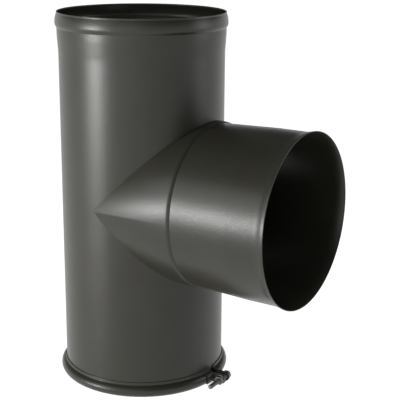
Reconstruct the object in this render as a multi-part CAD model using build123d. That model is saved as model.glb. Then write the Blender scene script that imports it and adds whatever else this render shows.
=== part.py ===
# Stove pipe tee in black painted sheet steel.
# A straight pipe stands on its lower end.  Its upper end is widened into a
# socket with a rolled bead.  A saddle collar of the same size is mitred onto
# one side, and a short branch pipe with a belled mouth sits in the collar.
# An open locking band is drawn round the lower end by a hex bolt and nut
# through two lugs.
# Frame: Z is the pipe's axis, X is the branch's axis, and the origin is the
# centre of the lower end.  Lengths are in millimetres.
from build123d import *
from math import acos, asin, atan2, cos, degrees, radians, sin, sqrt, tan
import os

os.makedirs("parts", exist_ok=True)

# sheet and main pipe
wall = 0.8
pipe_od = 200.0
pipe_height = 454.0

# socket at the upper end: widened by a taper, with a bead near its rim
socket_widening = 1.45
rim_to_bead = 13.0
socket_depth = 48.0
socket_taper = 22.0
taper_bend_radius = 110.0
bead_height = 2.15
bead_upper_radius = 4.0
bead_lower_radius = 14.0
bead_root_radius = 1.6

# bead at the lower end, which the locking band hooks over
foot_bead_height = 3.2
foot_bead_radius = 4.0

# branch
branch_height = 230.0
branch_length = 128.0
collar_land = 2.0
collar_fit_gap = 0.1
collar_turn_in_angle = 42.0
collar_turn_in_radius = 7.5
collar_turn_in_length = 4.0
tube_in_collar_gap = 0.05
tube_reduced_by = 1.0
tube_root_gap = 0.5
tube_reduced_length = 11.0
mouth_socket_widening = 1.2
mouth_socket_length = 50.0
mouth_bell_length = 6.0
mouth_bell_height = 2.3
mouth_bell_bend_radius = 8.0
tube_bend_radius = 200.0
hole_inside_tube = 0.3

# locking band
band_wall = 0.8
band_to_pipe_gap = 0.3
band_neck_length = 3.7
band_bulge_radius = 7.6
band_bulge_height = 7.0
band_bulge_reach = 6.7
band_fold_radius = 1.2

# lugs on the band's two ends
lug_thickness = 1.8
lug_spread = 7.2
lug_half_angle = 45.0
lug_foot_length = 13.5
lug_foot_gap = 0.02
lug_root_radius = 1.2
lug_shoulder = 0.4
lug_hole_gap = 0.3
spot_weld_diameter = 3.0
spot_weld_depth = 0.4
closure_angle = 2.0

# M6 bolt, nut and washers
bolt_diameter = 6.0
bolt_length = 40.0
bolt_tip_chamfer = 0.8
bolt_stand_off = 11.3
hex_across_flats = 10.0
hex_corner_chamfer = 0.7
hex_corner_drop = 0.35
bolt_head_height = 4.0
nut_height = 5.0
nut_running_gap = 0.05
washer_diameter = 12.0
washer_thickness = 1.6
washer_hole_gap = 0.2

# cutters pass right through what they cut
cutter_reach = 240.0

# worked out from the values above
pipe_radius = pipe_od / 2
branch_reach = pipe_radius + branch_length
socket_radius = pipe_radius + socket_widening
collar_radius = pipe_radius + collar_fit_gap + wall
tube_root_radius = pipe_radius - tube_reduced_by
mouth_socket_radius = pipe_radius + mouth_socket_widening
band_radius = pipe_radius + band_bulge_reach
bulge_centre = band_radius - band_bulge_radius
neck_radius = pipe_radius + band_to_pipe_gap + band_wall
band_height = band_bulge_height + sqrt(
    band_bulge_radius ** 2 - (neck_radius - bulge_centre) ** 2) + band_neck_length
bolt_radius = bolt_diameter / 2
bolt_axis_x = band_radius + bolt_stand_off
branch_axis = Axis((0, 0, branch_height), (1, 0, 0))


def arc(centre_x, centre_y, radius, start, end):
    """Arc about a centre, from one angle to another, in degrees."""
    return CenterArc((centre_x, centre_y), radius, start, end - start)


def join(edges, corner_radius, corners):
    """Wire of the edges, with its corners near the given points rounded."""
    wire = Wire(edges)
    picked = [wire.vertices().sort_by_distance(point)[0] for point in corners]
    return wire.fillet_2d(corner_radius, picked) if picked else wire


def sheet(outer_line, thickness, side=Side.LEFT):
    """Section of a sheet whose outer face follows the line."""
    return make_face(offset(outer_line, thickness, side=side, closed=True).edges())


def bead_reach(height, radius):
    """How far along the pipe an arc of this radius takes to sink by the height."""
    return sqrt(2 * radius * height - height ** 2)


def bead_arcs(base, middle, height, lower_radius, upper_radius):
    """Outer line of a rolled bead, from its lower root over the crest to its upper root."""
    crest = base + height
    lower_turn = degrees(atan2(bead_reach(height, lower_radius), lower_radius - height))
    upper_turn = degrees(atan2(bead_reach(height, upper_radius), upper_radius - height))
    return [arc(crest - lower_radius, middle, lower_radius, -lower_turn, 0),
            arc(crest - upper_radius, middle, upper_radius, 0, upper_turn)]


def turned(section, axis=Axis.Z, angle=360.0):
    """Solid of a section that is drawn with x as radius (or reach) and y as height."""
    return revolve(Plane.XZ * section, axis, angle)


def main_pipe():
    """Rolled tube with a socket, two beads and the branch's hole."""
    bead_middle = pipe_height - rim_to_bead
    taper_bottom = pipe_height - socket_depth
    bead_root = bead_middle - bead_reach(bead_height, bead_lower_radius)
    bead_top = bead_middle + bead_reach(bead_height, bead_upper_radius)
    foot_reach = bead_reach(foot_bead_height, foot_bead_radius)
    foot_root = band_bulge_height - foot_reach
    foot_top = band_bulge_height + foot_reach
    taper = FilletPolyline(
        (pipe_radius, foot_top),
        (pipe_radius, taper_bottom),
        (socket_radius, taper_bottom + socket_taper),
        (socket_radius, bead_root),
        radius=taper_bend_radius,
    )
    edges = [Line((pipe_radius, 0), (pipe_radius, foot_root))]
    edges += bead_arcs(pipe_radius, band_bulge_height, foot_bead_height,
                       foot_bead_radius, foot_bead_radius)
    edges += taper.edges()
    edges += bead_arcs(socket_radius, bead_middle, bead_height,
                       bead_lower_radius, bead_upper_radius)
    edges += [Line((socket_radius, bead_top), (socket_radius, pipe_height))]
    corners = [(pipe_radius, foot_root), (pipe_radius, foot_top),
               (socket_radius, bead_root), (socket_radius, bead_top)]
    tube = turned(sheet(join(edges, bead_root_radius, corners), wall))
    hole = Cylinder(tube_root_radius - wall - hole_inside_tube, cutter_reach, align=(
        Align.CENTER, Align.CENTER, Align.MIN))
    return tube - Pos(0, 0, branch_height) * Rot(0, 90, 0) * hole


def around_branch(section):
    """Turn a section about the branch: its x is reach, its y the radius about the branch."""
    return revolve(Plane.XZ * Pos(0, branch_height) * section, branch_axis)


def branch_collar():
    """Saddle collar, mitred to the pipe, with its far edge turned in on the tube."""
    turn = radians(collar_turn_in_angle)
    straight_end = pipe_radius + collar_land
    corner = straight_end + collar_turn_in_radius * tan(turn / 2)
    edge_x = corner + collar_turn_in_length * cos(turn)
    edge_radius = collar_radius - collar_turn_in_length * sin(turn)
    line = FilletPolyline((0, collar_radius), (corner, collar_radius),
                          (edge_x, edge_radius), radius=collar_turn_in_radius)
    shell = around_branch(sheet(line, wall, Side.RIGHT))
    tube_way = Cylinder(tube_root_radius + tube_in_collar_gap, cutter_reach,
                        align=(Align.CENTER, Align.CENTER, Align.MIN))
    shell -= Pos(0, 0, branch_height) * Rot(0, 90, 0) * tube_way
    far = edge_x + wall
    mitre = make_face(Polyline((0, 0), (far, far), (far, -far), (0, 0)).edges())
    mitre = extrude(Plane.XZ * Pos(0, branch_height) * mitre, cutter_reach, both=True)
    return shell & mitre


def branch_pipe():
    """Short tube with a reduced root in the collar and a belled mouth."""
    root_x = pipe_radius + tube_root_gap
    bell_x = branch_reach - mouth_bell_length
    line = FilletPolyline(
        (root_x, tube_root_radius),
        (root_x + tube_reduced_length, tube_root_radius),
        (branch_reach - mouth_socket_length, mouth_socket_radius),
        (bell_x, mouth_socket_radius),
        (branch_reach, mouth_socket_radius + mouth_bell_height),
        radius=[tube_bend_radius, tube_bend_radius, mouth_bell_bend_radius],
    )
    return around_branch(sheet(line, wall, Side.RIGHT))


def at_closure(shape):
    """Turn a shape about the pipe, from the X axis to the band's closure."""
    return Rot(0, 0, closure_angle) * shape


def on_bolt(shape, reach):
    """Lay a shape that is drawn along Z on the bolt's axis, so many millimetres along it."""
    return at_closure(Pos(bolt_axis_x, reach, band_bulge_height) * Rot(-90, 0, 0) * shape)


def locking_band():
    """Open band with a bulge over the pipes' beads and a neck above it."""
    foot_turn = degrees(asin(band_bulge_height / band_bulge_radius))
    fold_turn = degrees(acos((neck_radius - bulge_centre) / band_bulge_radius))
    fold_height = band_height - band_neck_length
    edges = [arc(bulge_centre, band_bulge_height, band_bulge_radius, -foot_turn, fold_turn),
             Line((neck_radius, fold_height), (neck_radius, band_height))]
    line = join(edges, band_fold_radius, [(neck_radius, fold_height)])
    split = Box(cutter_reach, lug_spread, cutter_reach, align=(
        Align.MIN, Align.CENTER, Align.CENTER))
    return at_closure(turned(sheet(line, band_wall)) - split)


def lug():
    """Pressed lug for the nut's side: a foot over the bulge and an ear for the bolt."""
    seat = band_bulge_radius + lug_foot_gap
    back = seat + lug_thickness
    half_width = back * sin(radians(lug_half_angle))
    inner_face = -lug_spread / 2
    seat_line = arc(0, 0, seat, -lug_half_angle, lug_half_angle)
    back_line = arc(0, 0, back, -lug_half_angle, lug_half_angle)
    section = make_face([seat_line, back_line, Line(seat_line @ 0, back_line @ 0),
                         Line(seat_line @ 1, back_line @ 1)])
    foot = turned(Pos(bulge_centre, band_bulge_height) * section)
    foot &= Pos(band_radius, inner_face, band_bulge_height) * Box(
        band_radius, lug_foot_length, cutter_reach,
        align=(Align.CENTER, Align.MAX, Align.CENTER))
    ear_root = bulge_centre + back * cos(radians(lug_half_angle))
    ear = Pos(ear_root, 0) * Rectangle(
        bolt_axis_x - ear_root, 2 * (half_width - lug_shoulder), align=(Align.MIN, Align.CENTER))
    ear += Pos(bolt_axis_x, 0) * Circle(half_width - lug_shoulder)
    ear -= Pos(bulge_centre, 0) * Circle(seat)
    ear = Plane.XZ.offset(-inner_face) * Pos(0, band_bulge_height) * ear
    body = foot + extrude(ear, lug_thickness)
    bend = body.edges().sort_by_distance(
        (bulge_centre + back, inner_face - lug_thickness, band_bulge_height))[0]
    body = fillet(bend, lug_root_radius)
    bolt_way = Cylinder(bolt_radius + lug_hole_gap, cutter_reach)
    body -= Pos(bolt_axis_x, 0, band_bulge_height) * Rot(90, 0, 0) * bolt_way
    weld_x = bulge_centre + back - spot_weld_depth
    weld_y = inner_face - (lug_foot_length + lug_thickness) / 2
    weld = Cylinder(spot_weld_diameter / 2, wall + lug_thickness, align=(
        Align.CENTER, Align.CENTER, Align.MIN))
    weld_x = sqrt(weld_x ** 2 - weld_y ** 2)
    return body - Pos(weld_x, weld_y, band_bulge_height) * Rot(0, 90, 0) * weld


def hexagon(height, chamfer_both):
    """Hexagonal block along Z with its corners turned off at the top, or at both ends."""
    flats = extrude(RegularPolygon(hex_across_flats / 2, 6, major_radius=False), height)
    corner_radius = hex_across_flats / sqrt(3)
    round_bar = Cylinder(corner_radius, height, align=(
        Align.CENTER, Align.CENTER, Align.MIN))
    ends = round_bar.edges().filter_by(GeomType.CIRCLE).sort_by(Axis.Z)
    ends = ends if chamfer_both else ends[-1:]
    return flats & chamfer(ends, hex_corner_drop, hex_corner_chamfer)


def clamp_bolt():
    """Hex head bolt, drawn along Z with its head on top and its bearing face at zero."""
    shank = Cylinder(bolt_radius, bolt_length, align=(
        Align.CENTER, Align.CENTER, Align.MAX))
    tip = shank.edges().filter_by(GeomType.CIRCLE).sort_by(Axis.Z)[:1]
    return hexagon(bolt_head_height, False) + chamfer(tip, bolt_tip_chamfer)


def clamp_nut():
    """Hex nut, drawn along Z with its bearing face on top at zero."""
    bore = Cylinder(bolt_radius + nut_running_gap, cutter_reach)
    return Pos(0, 0, -nut_height) * (hexagon(nut_height, True) - bore)


def washer():
    """Plain washer, drawn along Z with one face at zero."""
    plate = Circle(washer_diameter / 2) - Circle(bolt_radius + washer_hole_gap)
    return extrude(plate, washer_thickness)


lug_face = lug_spread / 2 + lug_thickness
bearing_face = lug_face + washer_thickness
nut_side = lug()
nodes = {
    "main_pipe": main_pipe(),
    "branch_collar": branch_collar(),
    "branch_pipe": branch_pipe(),
    "locking_band": locking_band(),
    "nut_side_lug": at_closure(nut_side),
    "head_side_lug": at_closure(mirror(nut_side, Plane.XZ)),
    "clamp_bolt": on_bolt(clamp_bolt(), bearing_face),
    "head_washer": on_bolt(washer(), lug_face),
    "nut_washer": on_bolt(washer(), -bearing_face),
    "clamp_nut": on_bolt(clamp_nut(), -bearing_face),
}
for name, shape in nodes.items():
    export_step(shape, f"parts/{name}.step")
    box = shape.bounding_box()
    print(name, len(shape.solids()), round(shape.volume, 1), box)
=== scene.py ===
# %% [markdown]
# # A stove pipe tee in painted sheet steel
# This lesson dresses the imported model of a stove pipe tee.  The real thing is
# made of rolled sheet 0.8 mm thick: a main pipe, a collar mitred onto its
# side, a short branch tube, and a locking band with a bolt at the foot.
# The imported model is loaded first, because it gives every piece its place and
# the body that it moves with.

import bpy
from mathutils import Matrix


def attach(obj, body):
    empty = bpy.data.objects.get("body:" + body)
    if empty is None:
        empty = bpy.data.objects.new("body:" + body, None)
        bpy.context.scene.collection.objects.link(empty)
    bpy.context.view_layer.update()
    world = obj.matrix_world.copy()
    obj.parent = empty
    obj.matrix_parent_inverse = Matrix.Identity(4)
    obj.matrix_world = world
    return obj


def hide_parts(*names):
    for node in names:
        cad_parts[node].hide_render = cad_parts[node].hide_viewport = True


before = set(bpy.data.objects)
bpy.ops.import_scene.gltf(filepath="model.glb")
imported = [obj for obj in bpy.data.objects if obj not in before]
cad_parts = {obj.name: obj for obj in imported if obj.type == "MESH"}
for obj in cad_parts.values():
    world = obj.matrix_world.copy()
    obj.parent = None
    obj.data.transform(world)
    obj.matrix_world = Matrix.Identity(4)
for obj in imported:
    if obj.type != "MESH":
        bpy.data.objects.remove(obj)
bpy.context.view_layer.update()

import bpy
from math import asin, atan2, cos, pi, radians, sin, sqrt, tan
from mathutils import Matrix, Vector

# %% [markdown]
# The sizes are those of the part's source, but in metres, because Blender
# counts in metres.  Only the two flanks of the upper bead and the length and
# bend of the mouth's bell are softer here, as the photograph shows them.  Each
# value is named once, so that a piece can be read without a drawing beside it.

# %% Sizes of the sheet-metal pieces
wall = 0.0008
pipe_radius = 0.100
pipe_height = 0.454

socket_radius = pipe_radius + 0.00145
rim_to_bead = 0.013
socket_depth = 0.048
socket_taper = 0.022
taper_bend_radius = 0.110
bead_height = 0.00215
bead_upper_radius = 0.030
bead_lower_radius = 0.008
bead_root_radius = 0.0016

foot_bead_height = 0.0032
foot_bead_radius = 0.004

branch_height = 0.230
branch_reach = 0.228
collar_radius = pipe_radius + 0.0001 + wall
collar_land = 0.002
collar_turn_in_angle = radians(42)
collar_turn_in_radius = 0.0075
collar_turn_in_length = 0.004
collar_to_tube_gap = 0.00005
tube_root_radius = 0.099
tube_root_x = 0.1005
tube_reduced_length = 0.011
tube_bend_radius = 0.200
mouth_socket_radius = 0.1012
mouth_socket_length = 0.050
mouth_bell_length = 0.010
mouth_bell_height = 0.0023
mouth_bell_bend_radius = 0.040
branch_hole_radius = 0.0979

band_bulge_radius = 0.0076
band_bulge_height = 0.007
band_radius = 0.1067
band_neck_radius = 0.1011
band_neck_length = 0.0037
band_fold_radius = 0.0012
bulge_centre = band_radius - band_bulge_radius

# %% Sizes of the clamp
lug_thickness = 0.0018
lug_spread = 0.0072
lug_half_angle = radians(45)
lug_foot_length = 0.0135
lug_foot_gap = 0.00002
lug_hole_radius = 0.0033
spot_weld_radius = 0.0015
spot_weld_depth = 0.0004
closure_angle = radians(2)

bolt_radius = 0.003
bolt_length = 0.040
bolt_tip_chamfer = 0.0008
bolt_axis_x = band_radius + 0.0113
thread_pitch = 0.001
thread_depth = 0.00061
hex_across_flats = 0.010
hex_corner_chamfer = 0.0007
hex_corner_drop = 0.00035
bolt_head_height = 0.004
nut_height = 0.005
nut_running_gap = 0.00005
washer_radius = 0.006
washer_thickness = 0.0016
washer_hole_radius = 0.0032
lug_face = lug_spread / 2 + lug_thickness
bearing_face = lug_face + washer_thickness
print("bolt's bearing face is", round(bearing_face * 1000, 2), "mm from the closure's middle")

# %% [markdown]
# Nearly every piece here is turned: a line, drawn as a chain of edges, is
# spun about an axis, and a Solidify modifier gives it the sheet's thickness.
# That is also how the real beads and bells are rolled, so the shapes come out
# the same.  These helpers draw a line, spin it and finish it.

# %% Helpers for lines
around_steps = 192
merge_distance = 1e-6


def leave_nothing_selected():
    """An operator acts on all that is selected, so each piece starts from nothing."""
    if bpy.context.object and bpy.context.object.mode != "OBJECT":
        bpy.ops.object.mode_set(mode="OBJECT")
    bpy.ops.object.select_all(action="DESELECT")


def pick(piece):
    """Make this piece the only selected and the active one."""
    leave_nothing_selected()
    piece.select_set(True)
    bpy.context.view_layer.objects.active = piece


def edit_all(piece):
    """Go into edit mode with the whole mesh selected."""
    pick(piece)
    bpy.ops.object.mode_set(mode="EDIT")
    bpy.ops.mesh.select_all(action="SELECT")


def draw_line(name, points, closed=False):
    """A chain of edges: one vertex, extruded from point to point."""
    leave_nothing_selected()
    bpy.ops.mesh.primitive_plane_add(size=0.001, location=points[0])
    line = bpy.context.object
    line.name = name
    line.data.name = name
    bpy.ops.object.transform_apply(location=True, rotation=True, scale=True)
    edit_all(line)
    bpy.ops.mesh.merge(type="CENTER")
    loop = points + points[:1] if closed else points
    for start, end in zip(loop, loop[1:]):
        step = Vector(end) - Vector(start)
        bpy.ops.mesh.extrude_region_move(TRANSFORM_OT_translate={"value": step})
    if closed:
        bpy.ops.mesh.select_all(action="SELECT")
        bpy.ops.mesh.remove_doubles(threshold=merge_distance)
    bpy.ops.object.mode_set(mode="OBJECT")
    return line


def turned_on_z(points):
    """Section points (radius, height) as points in space, for spinning about Z."""
    return [(radius, 0.0, height) for radius, height in points]


def turned_on_branch(points):
    """Section points (reach, radius) as points in space, for spinning about the branch."""
    return [(reach, 0.0, branch_height + radius) for reach, radius in points]


def arc(centre, radius, start, end, steps):
    """Points along an arc, from one angle to another."""
    points = []
    for i in range(steps + 1):
        angle = start + (end - start) * i / steps
        points.append((centre[0] + radius * cos(angle), centre[1] + radius * sin(angle)))
    return points


def rounded_corner(before, corner, after, radius, steps):
    """Points of the arc that rounds one corner of a line."""
    corner = Vector(corner)
    to_before = (Vector(before) - corner).normalized()
    to_after = (Vector(after) - corner).normalized()
    half = to_before.angle(to_after) / 2
    centre = corner + (to_before + to_after).normalized() * radius / sin(half)
    first = corner + to_before * radius / tan(half) - centre
    last = corner + to_after * radius / tan(half) - centre
    turn = pi - 2 * half
    points = []
    for i in range(steps + 1):
        share = i / steps
        spoke = first * sin((1 - share) * turn) + last * sin(share * turn)
        points.append(tuple(centre + spoke / sin(turn)))
    return points


def rounded_line(corners, radii, steps):
    """A line through the corners, with each inner corner rounded by its radius."""
    points = [corners[0]]
    for before, corner, after, radius in zip(corners, corners[1:], corners[2:], radii):
        points += rounded_corner(before, corner, after, radius, steps)
    return points + [corners[-1]]


def bead_half(base, middle, side, radius, height, steps=10):
    """Half of a rolled bead: an arc from the crest, then the small arc of its root."""
    centre = base + height - radius
    root_centre = base + bead_root_radius
    rise = sqrt((radius + bead_root_radius) ** 2 - (root_centre - centre) ** 2)
    turn = atan2(rise, root_centre - centre)
    crest = arc((centre, 0.0), radius, 0.0, turn, steps)
    root = arc((root_centre, rise), bead_root_radius, pi + turn, pi, steps // 2)
    return [(r, middle + side * h) for r, h in crest + root[1:]]


print("helpers for lines are ready")

# %% Helpers for turning and finishing


def spin(piece, centre, axis, angle=2 * pi, steps=around_steps):
    """Spin the drawn line about an axis, and turn its faces outwards."""
    edit_all(piece)
    bpy.ops.mesh.spin(steps=steps, angle=angle, center=centre, axis=axis)
    bpy.ops.mesh.select_all(action="SELECT")
    bpy.ops.mesh.remove_doubles(threshold=merge_distance)
    bpy.ops.mesh.normals_make_consistent(inside=False)
    bpy.ops.object.mode_set(mode="OBJECT")


def modify(piece, kind, **settings):
    """Add one modifier with its settings, and apply it."""
    pick(piece)
    modifier = piece.modifiers.new(kind.title(), kind)
    for setting, value in settings.items():
        setattr(modifier, setting, value)
    bpy.ops.object.modifier_apply(modifier=modifier.name)


def give_wall(piece, thickness):
    """Give a sheet its thickness, measured inwards from the drawn line."""
    modify(piece, "SOLIDIFY", thickness=thickness, offset=-1.0, use_even_offset=True)


def soften_edges(piece, width, segments=2, limit=radians(50)):
    """Take the sharpness off cut edges, as deburring does."""
    modify(piece, "BEVEL", width=width, segments=segments, limit_method="ANGLE",
           angle_limit=limit, harden_normals=False)


def smooth(piece, limit=radians(35)):
    """Shade the rolled faces smooth and leave the real corners crisp."""
    pick(piece)
    bpy.ops.object.shade_smooth_by_angle(angle=limit)


def close_loop(piece):
    """Fill a closed line with one face."""
    edit_all(piece)
    bpy.ops.mesh.edge_face_add()
    bpy.ops.object.mode_set(mode="OBJECT")


def cut_with(piece, cutter, operation="DIFFERENCE"):
    """Cut a piece with another one, which is used up."""
    modify(piece, "BOOLEAN", object=cutter, operation=operation, solver="EXACT")
    bpy.data.objects.remove(cutter)


def cylinder(radius, depth, place, rotation=(0, 0, 0), vertices=64):
    """A cylinder for cutting or joining, at its place."""
    leave_nothing_selected()
    bpy.ops.mesh.primitive_cylinder_add(
        vertices=vertices, radius=radius, depth=depth, location=place, rotation=rotation)
    bpy.ops.object.transform_apply(location=True, rotation=True, scale=True)
    return bpy.context.object


def finish_piece(piece, material, body, node):
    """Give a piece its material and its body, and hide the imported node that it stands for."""
    piece.data.materials.clear()
    piece.data.materials.append(material)
    smooth(piece)
    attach(piece, body)
    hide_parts(node)
    print(piece.name, len(piece.data.vertices), "vertices, stands for", node)


sheet_edge_round = 0.00018
print("helpers for turning are ready")

# %% [markdown]
# The pipe is painted with a heat-proof satin paint.  It is a warm dark grey
# with a fine grain, which shows in the highlights as an orange peel, and it is
# a little uneven in tone.  Noise on Object coordinates gives all of it: the
# pattern stays on the piece when the piece moves.

# %% Paint and zinc


def material_with_shader(name):
    """A new material, its node tree and its Principled shader."""
    material = bpy.data.materials.new(name)
    material.use_nodes = True
    tree = material.node_tree
    return material, tree, tree.nodes["Principled BSDF"]


def noise(tree, scale, detail, coordinates):
    """A noise texture on Object coordinates."""
    texture = tree.nodes.new("ShaderNodeTexNoise")
    texture.inputs["Scale"].default_value = scale
    texture.inputs["Detail"].default_value = detail
    tree.links.new(coordinates, texture.inputs["Vector"])
    return texture.outputs["Fac"]


def spread(tree, source, low, high):
    """Map the middle range of a noise to the range between two values."""
    node = tree.nodes.new("ShaderNodeMapRange")
    node.inputs["From Min"].default_value = 0.3
    node.inputs["From Max"].default_value = 0.7
    node.inputs["To Min"].default_value = low
    node.inputs["To Max"].default_value = high
    tree.links.new(source, node.inputs["Value"])
    return node.outputs["Result"]


def two_tones(tree, source, dark, light):
    """Blend two colours by a value."""
    node = tree.nodes.new("ShaderNodeMix")
    node.data_type = "RGBA"
    node.inputs[6].default_value = (*dark, 1)
    node.inputs[7].default_value = (*light, 1)
    tree.links.new(source, node.inputs[0])
    return node.outputs[2]


def bump(tree, source, strength, distance, below=None):
    """A bump from a value, on top of another bump if one is given."""
    node = tree.nodes.new("ShaderNodeBump")
    node.inputs["Strength"].default_value = strength
    node.inputs["Distance"].default_value = distance
    tree.links.new(source, node.inputs["Height"])
    if below is not None:
        tree.links.new(below, node.inputs["Normal"])
    return node.outputs["Normal"]


paint_ior = 1.43


def satin_paint(name, dark, light, roughness):
    """Satin heat-proof paint over steel."""
    material, tree, shader = material_with_shader(name)
    place = tree.nodes.new("ShaderNodeTexCoord").outputs["Object"]
    patches = spread(tree, noise(tree, 22, 3, place), 0, 1)
    tree.links.new(two_tones(tree, patches, dark, light), shader.inputs["Base Color"])
    rubbed = noise(tree, 420, 4, place)
    tree.links.new(spread(tree, rubbed, roughness - 0.03, roughness + 0.03),
                   shader.inputs["Roughness"])
    waves = bump(tree, noise(tree, 160, 2, place), 0.3, 0.00005)
    peel = bump(tree, noise(tree, 620, 3, place), 0.9, 0.00012, waves)
    tree.links.new(peel, shader.inputs["Normal"])
    shader.inputs["IOR"].default_value = paint_ior
    return material


def zinc_plate(name, dark, light, roughness):
    """Dull zinc plate on small fasteners."""
    material, tree, shader = material_with_shader(name)
    place = tree.nodes.new("ShaderNodeTexCoord").outputs["Object"]
    patches = spread(tree, noise(tree, 350, 4, place), 0, 1)
    tree.links.new(two_tones(tree, patches, dark, light), shader.inputs["Base Color"])
    rubbed = noise(tree, 900, 3, place)
    tree.links.new(spread(tree, rubbed, roughness - 0.08, roughness + 0.08),
                   shader.inputs["Roughness"])
    tree.links.new(bump(tree, noise(tree, 1500, 2, place), 0.2, 0.00003),
                   shader.inputs["Normal"])
    shader.inputs["Metallic"].default_value = 0.85
    return material


pipe_paint = satin_paint("pipe paint", (0.0285, 0.0279, 0.0207), (0.0355, 0.0347, 0.0259), 0.34)
lug_paint = satin_paint("lug paint", (0.050, 0.049, 0.043), (0.070, 0.068, 0.061), 0.45)
zinc = zinc_plate("zinc plate", (0.11, 0.11, 0.102), (0.19, 0.19, 0.18), 0.42)
print("materials:", [m.name for m in (pipe_paint, lug_paint, zinc)])

# %% [markdown]
# ## Main pipe
# The real pipe is a rolled and welded tube.  Its upper end is widened into a
# socket, and a bead is rolled into the socket near the rim to stiffen it.  A
# second bead at the foot is what the locking band hooks over.  The line of the
# outside is drawn once from the foot to the rim and spun, which keeps every
# ring truly round.

# %% Main pipe
foot_shape = (foot_bead_radius, foot_bead_height)
foot_bead = bead_half(pipe_radius, band_bulge_height, -1, *foot_shape)[::-1]
foot_bead += bead_half(pipe_radius, band_bulge_height, 1, *foot_shape)[1:]

bead_middle = pipe_height - rim_to_bead
rim_bead = bead_half(socket_radius, bead_middle, -1, bead_lower_radius, bead_height)[::-1]
rim_bead += bead_half(socket_radius, bead_middle, 1, bead_upper_radius, bead_height)[1:]

taper_bottom = pipe_height - socket_depth
taper = rounded_line(
    [foot_bead[-1], (pipe_radius, taper_bottom),
     (socket_radius, taper_bottom + socket_taper), rim_bead[0]],
    [taper_bend_radius, taper_bend_radius], 5)
pipe_line = [(pipe_radius, 0.0)] + foot_bead + taper[1:-1] + rim_bead
pipe_line += [(socket_radius, pipe_height)]

pipe = draw_line("pipe", turned_on_z(pipe_line))
spin(pipe, (0, 0, 0), (0, 0, 1))
give_wall(pipe, wall)
soften_edges(pipe, sheet_edge_round)

cut_with(pipe, cylinder(branch_hole_radius, 2 * pipe_radius,
                        (pipe_radius, 0, branch_height), (0, pi / 2, 0), around_steps))
finish_piece(pipe, pipe_paint, "tee", "main_pipe")

# %% [markdown]
# ## Branch collar
# The collar is a tube of nearly the same size as the pipe, cut to a mitre so
# that it sits on the pipe like a saddle.  Two planes through the crossing of
# the axes make the mitre.  The spun tube gets its wall first, and a V-shaped
# block then cuts both planes through it, so that the cut face lies along the
# pipe and leaves no gap.  Its far edge is turned in on the branch tube.

# %% Branch collar
turn_corner = pipe_radius + collar_land + collar_turn_in_radius * tan(collar_turn_in_angle / 2)
collar_edge_x = turn_corner + collar_turn_in_length * cos(collar_turn_in_angle)
collar_edge_radius = collar_radius - collar_turn_in_length * sin(collar_turn_in_angle)
collar_spare_length = 0.005
collar_line = rounded_line(
    [(-collar_spare_length, collar_radius), (turn_corner, collar_radius), (collar_edge_x, collar_edge_radius)],
    [collar_turn_in_radius], 8)
collar = draw_line("collar", turned_on_branch(collar_line))
spin(collar, (0, 0, branch_height), (1, 0, 0))
give_wall(collar, wall)

notch_reach = 1.5 * pipe_radius
notch_line = [(0, 0), (notch_reach, notch_reach), (-notch_reach, notch_reach),
              (-notch_reach, -notch_reach), (notch_reach, -notch_reach)]
notch_points = [(x, -notch_reach, branch_height + z) for x, z in notch_line]
notch = draw_line("notch", notch_points, closed=True)
close_loop(notch)
edit_all(notch)
bpy.ops.mesh.extrude_region_move(TRANSFORM_OT_translate={"value": (0, 2 * notch_reach, 0)})
bpy.ops.mesh.select_all(action="SELECT")
bpy.ops.mesh.normals_make_consistent(inside=False)
bpy.ops.object.mode_set(mode="OBJECT")
cut_with(collar, notch)
cut_with(collar, cylinder(tube_root_radius + collar_to_tube_gap, 2 * branch_reach,
                          (branch_reach, 0, branch_height), (0, pi / 2, 0), around_steps))
soften_edges(collar, sheet_edge_round)
finish_piece(collar, pipe_paint, "tee", "branch_collar")

# %% [markdown]
# ## Branch tube
# The short tube has a reduced root, which is pushed into the collar, and then
# widens to a socket that takes the next pipe.  Its rim is belled, so that the
# next pipe finds its way in.

# %% Branch tube
bell_x = branch_reach - mouth_bell_length
tube_line = rounded_line(
    [(tube_root_x, tube_root_radius),
     (tube_root_x + tube_reduced_length, tube_root_radius),
     (branch_reach - mouth_socket_length, mouth_socket_radius),
     (bell_x, mouth_socket_radius),
     (branch_reach, mouth_socket_radius + mouth_bell_height)],
    [tube_bend_radius, tube_bend_radius, mouth_bell_bend_radius], 8)
tube = draw_line("branch_tube", turned_on_branch(tube_line))
spin(tube, (0, 0, branch_height), (1, 0, 0))
give_wall(tube, wall)
soften_edges(tube, sheet_edge_round)
finish_piece(tube, pipe_paint, "tee", "branch_pipe")

# %% [markdown]
# ## Locking band
# The band is a strip rolled to a bulge, which goes over the beads of two pipes
# that are pushed together, with a flat neck above it.  It is open at the
# closure, where the bolt draws it together.  It is spun as a full ring, cut
# along two parallel planes, and the faces between them are deleted.

# %% Locking band
closure = Matrix.Rotation(closure_angle, 4, "Z")
along_bolt = closure @ Vector((0, 1, 0))
outwards = closure @ Vector((1, 0, 0))

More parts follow.
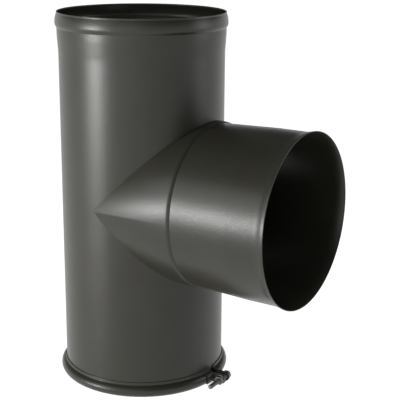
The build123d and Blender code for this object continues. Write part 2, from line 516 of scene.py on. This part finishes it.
foot_turn = asin(band_bulge_height / band_bulge_radius)
root_reach = band_neck_radius + band_fold_radius - bulge_centre
root_rise = sqrt((band_bulge_radius + band_fold_radius) ** 2 - root_reach ** 2)
fold_turn = atan2(root_rise, root_reach)
fold_centre = (band_neck_radius + band_fold_radius, band_bulge_height + root_rise)
neck_foot = band_bulge_height + sqrt(
    band_bulge_radius ** 2 - (band_neck_radius - bulge_centre) ** 2)
band_line = arc((bulge_centre, band_bulge_height), band_bulge_radius, -foot_turn, fold_turn, 28)
band_line += arc(fold_centre, band_fold_radius, pi + fold_turn, pi, 6)[1:]
band_line += [(band_neck_radius, neck_foot + band_neck_length)]
band = draw_line("band", turned_on_z(band_line))
spin(band, (0, 0, 0), (0, 0, 1))
edit_all(band)
for side in (1, -1):
    bpy.ops.mesh.select_all(action="SELECT")
    bpy.ops.mesh.bisect(plane_co=along_bolt * side * lug_spread / 2, plane_no=along_bolt)
bpy.ops.mesh.select_all(action="DESELECT")
bpy.ops.object.mode_set(mode="OBJECT")
for face in band.data.polygons:
    between = abs(face.center.dot(along_bolt)) < lug_spread / 2
    face.select = between and face.center.dot(outwards) > 0
bpy.ops.object.mode_set(mode="EDIT")
bpy.ops.mesh.select_mode(type="FACE")
bpy.ops.mesh.delete(type="FACE")
bpy.ops.mesh.select_mode(type="VERT")
bpy.ops.object.mode_set(mode="OBJECT")
give_wall(band, wall)
soften_edges(band, sheet_edge_round)
finish_piece(band, pipe_paint, "band", "locking_band")

# %% [markdown]
# ## Lugs
# Each lug is pressed from 1.8 mm plate.  Its foot is crowned to sit on the
# band's bulge, where it is spot-welded, and its ear stands up for the bolt.
# The foot is a spun arc, the ear is a flat outline with a thickness, and a
# small spun filler makes the radius of the bend between them.  The three are
# joined, drilled, and then remeshed with a fine voxel and relaxed a little,
# because that rounds every cut edge in the way a press does.

# %% Helpers for solid pieces


def slice_off(piece, place, direction):
    """Cut away what lies beyond a plane, and close the cut."""
    edit_all(piece)
    bpy.ops.mesh.bisect(plane_co=place, plane_no=direction, use_fill=True, clear_outer=True)
    bpy.ops.object.mode_set(mode="OBJECT")


def close_ends(piece):
    """Cap every open edge loop of a piece, and turn its faces outwards."""
    edit_all(piece)
    bpy.ops.mesh.fill_holes(sides=0)
    bpy.ops.mesh.select_all(action="SELECT")
    bpy.ops.mesh.normals_make_consistent(inside=False)
    bpy.ops.object.mode_set(mode="OBJECT")


def move_piece(piece, matrix):
    """Put a finished piece at its place, and keep the place in its mesh."""
    pick(piece)
    piece.matrix_world = matrix
    bpy.ops.object.transform_apply(location=True, rotation=True, scale=True)


print("helpers for solid pieces are ready")

# %% Foot of a lug
seat_radius = band_bulge_radius + lug_foot_gap
back_radius = seat_radius + lug_thickness
bulge_point = (bulge_centre, band_bulge_height)
inner_face = -lug_spread / 2
foot_line = arc(bulge_point, seat_radius, -lug_half_angle, lug_half_angle, 20)
foot_line += arc(bulge_point, back_radius, lug_half_angle, -lug_half_angle, 20)
lug = draw_line("nut_lug", turned_on_z(foot_line), closed=True)
lug_sweep = radians(14)
spin(lug, (0, 0, 0), (0, 0, 1), lug_sweep, 28)
close_ends(lug)
slice_off(lug, (0, inner_face, 0), (0, 1, 0))
slice_off(lug, (0, inner_face - lug_foot_length, 0), (0, -1, 0))
print("foot is", round(lug.dimensions.y * 1000, 2), "mm long")

# %% Ear of a lug, and the radius of its bend
ear_set_in = 0.0004
ear_half_width = back_radius * sin(lug_half_angle) - ear_set_in
ear_root_radius = (seat_radius + back_radius) / 2
ear_root_turn = asin(ear_half_width / ear_root_radius)
ear_line = arc(bulge_point, ear_root_radius, ear_root_turn, -ear_root_turn, 12)
ear_line += arc((bolt_axis_x, band_bulge_height), ear_half_width, -pi / 2, pi / 2, 32)
ear = draw_line("ear", [(x, inner_face, z) for x, z in ear_line], closed=True)
close_loop(ear)
edit_all(ear)
bpy.ops.mesh.extrude_region_move(TRANSFORM_OT_translate={"value": (0, -lug_thickness, 0)})
bpy.ops.mesh.select_all(action="SELECT")
bpy.ops.mesh.normals_make_consistent(inside=False)
bpy.ops.object.mode_set(mode="OBJECT")

bend_radius = 0.0012
overlap = 0.0003
bend_x = bulge_centre + back_radius
bend_y = inner_face - lug_thickness
bend_line = [(bend_x - overlap, bend_y + overlap), (bend_x + bend_radius, bend_y + overlap)]
bend_line += arc((bend_x + bend_radius, bend_y - bend_radius), bend_radius, pi / 2, pi, 8)
bend_line += [(bend_x - overlap, bend_y - bend_radius)]
bend = draw_line("bend", [(x, y, band_bulge_height) for x, y in bend_line], closed=True)
bend_sweep = asin(ear_half_width / (back_radius + bend_radius))
move_piece(bend, Matrix.Translation((bulge_centre, 0, band_bulge_height))
           @ Matrix.Rotation(bend_sweep, 4, "Y")
           @ Matrix.Translation((-bulge_centre, 0, -band_bulge_height)))
spin(bend, (bulge_centre, 0, band_bulge_height), (0, 1, 0), 2 * bend_sweep, 24)
close_ends(bend)
print("the bend reaches", round(bend.dimensions.z * 1000, 2), "mm across the ear")

# %% Join, drill and round the lugs
cut_with(lug, ear, "UNION")
cut_with(lug, bend, "UNION")
drill_length = 0.02
cut_with(lug, cylinder(lug_hole_radius, drill_length, (bolt_axis_x, bend_y, band_bulge_height),
                       (pi / 2, 0, 0)))
weld_y = inner_face - (lug_foot_length + lug_thickness) / 2
weld_x = sqrt((bend_x - spot_weld_depth) ** 2 - weld_y ** 2)
punch_length = 0.006
punch_middle = (weld_x + punch_length / 2, weld_y, band_bulge_height)
cut_with(lug, cylinder(spot_weld_radius, punch_length, punch_middle, (0, pi / 2, 0), 32))
lug_voxel = 0.00018
modify(lug, "REMESH", mode="VOXEL", voxel_size=lug_voxel)
modify(lug, "SMOOTH", factor=0.5, iterations=4)

pick(lug)
bpy.ops.object.duplicate()
head_lug = bpy.context.object
head_lug.name = "head_lug"
head_lug.data.name = "head_lug"
move_piece(head_lug, Matrix.Scale(-1, 4, (0, 1, 0)))
edit_all(head_lug)
bpy.ops.mesh.normals_make_consistent(inside=False)
bpy.ops.object.mode_set(mode="OBJECT")
for piece, node in ((lug, "nut_side_lug"), (head_lug, "head_side_lug")):
    move_piece(piece, closure)
    finish_piece(piece, lug_paint, "band", node)

# %% [markdown]
# ## Bolt
# The bolt is an M6 hex head bolt, 40 mm long, threaded up to its head.  The
# thread is a real helix: one tooth of the outline, with its flats and 60
# degree flanks, is repeated by a Screw modifier that climbs by the pitch in
# each turn.  The helix is made a little long, capped, and cut to length by a
# turned blank with a cone at the tip.  It starts a hundredth of a millimetre
# off, so that the cut runs between vertices and not through them.

# %% Helpers for the bolt, nut and washers
round_steps = 64


def turned_piece(name, points, steps=round_steps):
    """A solid that a lathe would turn: a closed section, spun about Z."""
    piece = draw_line(name, turned_on_z(points), closed=True)
    spin(piece, (0, 0, 0), (0, 0, 1), steps=steps)
    return piece


def hexagon(name, height, both_ends):
    """A hexagonal block along Z, with its corners turned off at one end or both."""
    corner = hex_across_flats / sqrt(3)
    block = cylinder(corner, height, (0, 0, height / 2), (0, 0, radians(30)), 6)
    block.name = name
    block.data.name = name
    low = hex_corner_drop if both_ends else 0.0
    low_radius = corner - hex_corner_chamfer if both_ends else corner + hex_corner_drop
    clear = corner + hex_corner_drop
    slope = hex_corner_chamfer / hex_corner_drop
    spare = clear - corner
    points = [(0.0, 0.0)] if both_ends else [(0.0, -hex_corner_drop)]
    points += [(low_radius, points[0][1])]
    if both_ends:
        points += [(clear, low + spare / slope)]
    points += [(clear, height - hex_corner_drop - spare / slope)]
    points += [(corner - hex_corner_chamfer, height), (0.0, height)]
    blank = turned_piece(name + "_blank", points)
    cut_with(block, blank, "INTERSECT")
    return block


def lay_on_bolt(piece, reach):
    """Lay a piece that is drawn along Z on the bolt's axis, so far along it."""
    place = Matrix.Translation((bolt_axis_x, reach, band_bulge_height))
    move_piece(piece, closure @ place @ Matrix.Rotation(-pi / 2, 4, "X"))


print("hexagon is", round(hex_across_flats * 1000, 1), "mm across flats")

# %% Thread of the bolt
root_radius = bolt_radius - thread_depth
turns = 43
tooth = [(root_radius, 0.0), (root_radius, 0.25 * thread_pitch),
         (bolt_radius, 0.5625 * thread_pitch), (bolt_radius, 0.6875 * thread_pitch),
         (root_radius, thread_pitch)]
off_the_cut = 0.00001
thread_start = -bolt_length - 2 * thread_pitch - off_the_cut
thread_end = -0.0015
bolt = draw_line("bolt", turned_on_z([(r, z + thread_start) for r, z in tooth]))
modify(bolt, "SCREW", axis="Z", angle=2 * pi, screw_offset=thread_pitch, iterations=turns,
       steps=32, render_steps=32)
edit_all(bolt)
bpy.ops.mesh.remove_doubles(threshold=merge_distance)
bpy.ops.object.mode_set(mode="OBJECT")
close_ends(bolt)
clear = 0.0033
tip_radius = bolt_radius - bolt_tip_chamfer
blank = turned_piece("blank", [
    (0.0, -bolt_length), (tip_radius, -bolt_length),
    (clear, clear - tip_radius - bolt_length), (clear, thread_end), (0.0, thread_end)])
cut_with(bolt, blank, "INTERSECT")
print("thread has", len(bolt.data.polygons), "faces")

# %% Head of the bolt
neck_radius = root_radius + 0.0002
neck_overlap = 0.0004
neck_start = thread_end - neck_overlap
neck = turned_piece("neck", [
    (0.0, neck_start), (neck_radius, neck_start),
    (neck_radius, neck_overlap), (0.0, neck_overlap)])
cut_with(bolt, neck, "UNION")
cut_with(bolt, hexagon("head", bolt_head_height, False), "UNION")
bolt_edge_round = 0.00008
soften_edges(bolt, bolt_edge_round, 1, radians(55))
lay_on_bolt(bolt, bearing_face)
finish_piece(bolt, zinc, "bolt", "clamp_bolt")

# %% [markdown]
# ## Nut and washers
# The nut is the same hexagon with both ends chamfered and a countersunk bore.
# Its own thread can't be seen, because the bolt fills it.  The washers are
# stamped, so their outer edges are rounded on both sides.

# %% Nut
nut = hexagon("nut", nut_height, True)
bore_radius = bolt_radius + nut_running_gap
countersink = 0.0004
past_nut = 0.001
bore_end_radius = bore_radius + countersink + past_nut
bore_line = [(0.0, -past_nut), (bore_end_radius, -past_nut),
             (bore_radius, countersink), (bore_radius, nut_height - countersink),
             (bore_end_radius, nut_height + past_nut), (0.0, nut_height + past_nut)]
cut_with(nut, turned_piece("bore", bore_line))
nut_edge_round = 0.0001
soften_edges(nut, nut_edge_round, 2, radians(25))
lay_on_bolt(nut, -bearing_face - nut_height)
finish_piece(nut, zinc, "nut", "clamp_nut")

# %% Washers
washer_places = (("washer_at_head", lug_face, "bolt", "head_washer"),
                 ("washer_at_nut", -bearing_face, "travelling_washer", "nut_washer"))
washer_edge_round = 0.00025
for name, reach, body, node in washer_places:
    washer = turned_piece(name, [
        (washer_hole_radius, 0.0), (washer_radius, 0.0),
        (washer_radius, washer_thickness), (washer_hole_radius, washer_thickness)])
    soften_edges(washer, washer_edge_round, 3, radians(50))
    lay_on_bolt(washer, reach)
    finish_piece(washer, zinc, body, node)

# %% [markdown]
# ## Floor, light and camera
# The stage is plain: a white floor that keeps the pipe's soft shadow, and a
# backdrop that curves up from it.  The key light at the front left gives the
# long stripe on the pipe and the band of light on the branch.  A wide light
# above it softens the stripe, and two weak ones fill the front and the right.
# The backdrop is white for the camera and in reflections by its own glow, so
# that no extra light has to fall on the object.

# %% Floor and backdrop in one cove
cove_radius = 16.0
cove_bend = 2.0
cove_height = 3.4
cove_line = [(0.0, 0.0), (1.0, 0.0), (cove_radius - cove_bend, 0.0)]
cove_line += arc((cove_radius - cove_bend, cove_bend), cove_bend, -pi / 2, 0.0, 8)[1:]
cove_line += [(cove_radius, cove_height)]
cove = draw_line("cove", turned_on_z(cove_line))
edit_all(cove)
bpy.ops.mesh.spin(steps=64, angle=2 * pi, center=(0, 0, 0), axis=(0, 0, 1))
bpy.ops.mesh.select_all(action="SELECT")
bpy.ops.mesh.remove_doubles(threshold=0.0005)
bpy.ops.mesh.normals_make_consistent(inside=True)
bpy.ops.object.mode_set(mode="OBJECT")
smooth(cove)

cove_glow = 0.95
cove_paper, tree, shader = material_with_shader("cove paper")
shader.inputs["Base Color"].default_value = (0.75, 0.75, 0.75, 1)
shader.inputs["Roughness"].default_value = 0.9
shader.inputs["Specular IOR Level"].default_value = 0.0
path = tree.nodes.new("ShaderNodeLightPath")
seen = path.outputs["Is Camera Ray"]
for ray in ("Is Glossy Ray", "Is Transmission Ray"):
    either = tree.nodes.new("ShaderNodeMath")
    either.operation = "MAXIMUM"
    tree.links.new(seen, either.inputs[0])
    tree.links.new(path.outputs[ray], either.inputs[1])
    seen = either.outputs[0]
level = tree.nodes.new("ShaderNodeMath")
level.operation = "MULTIPLY"
level.inputs[1].default_value = cove_glow
tree.links.new(seen, level.inputs[0])
shader.inputs["Emission Color"].default_value = (1, 1, 1, 1)
tree.links.new(level.outputs[0], shader.inputs["Emission Strength"])
cove.data.materials.append(cove_paper)
print("cove is", round(cove.dimensions.x, 2), "m wide")

# %% World and lamps
world = bpy.data.worlds.new("studio")
bpy.context.scene.world = world
world.use_nodes = True
backdrop = world.node_tree.nodes["Background"]
backdrop.inputs["Color"].default_value = (1, 1, 1, 1)
backdrop.inputs["Strength"].default_value = 0.12


def soft_light(name, place, target, width, height, watts):
    """A rectangular soft light that faces a point."""
    lamp = bpy.data.lights.new(name, "AREA")
    lamp.shape = "RECTANGLE"
    lamp.size = width
    lamp.size_y = height
    lamp.energy = watts
    holder = bpy.data.objects.new(name, lamp)
    bpy.context.scene.collection.objects.link(holder)
    holder.location = place
    holder.rotation_euler = (Vector(target) - Vector(place)).to_track_quat("-Z", "Y").to_euler()
    return holder


object_middle = (0.03, 0, 0.23)
soft_light("key light", (-1.15, -2.09, 0.26), object_middle, 0.75, 0.5, 40)
soft_light("high light", (-1.10, -2.12, 1.25), object_middle, 1.3, 1.2, 12)
soft_light("front light", (0.55, -1.7, 0.75), object_middle, 1.2, 1.2, 3)
soft_light("right light", (1.3, 0.75, 0.6), object_middle, 0.5, 0.8, 3)

# %% Camera
camera = bpy.data.objects.new("camera", bpy.data.cameras.new("camera"))
bpy.context.scene.collection.objects.link(camera)
camera.location = (0.72684, -1.00496, 0.56663)
camera.rotation_euler = (radians(74.3745), radians(-0.4093), radians(32.7085))
camera.data.sensor_width = 36
camera.data.lens = 92.4655
bpy.context.scene.camera = camera
bpy.context.scene.view_settings.view_transform = "Standard"
print("camera looks from", tuple(round(x, 3) for x in camera.location))
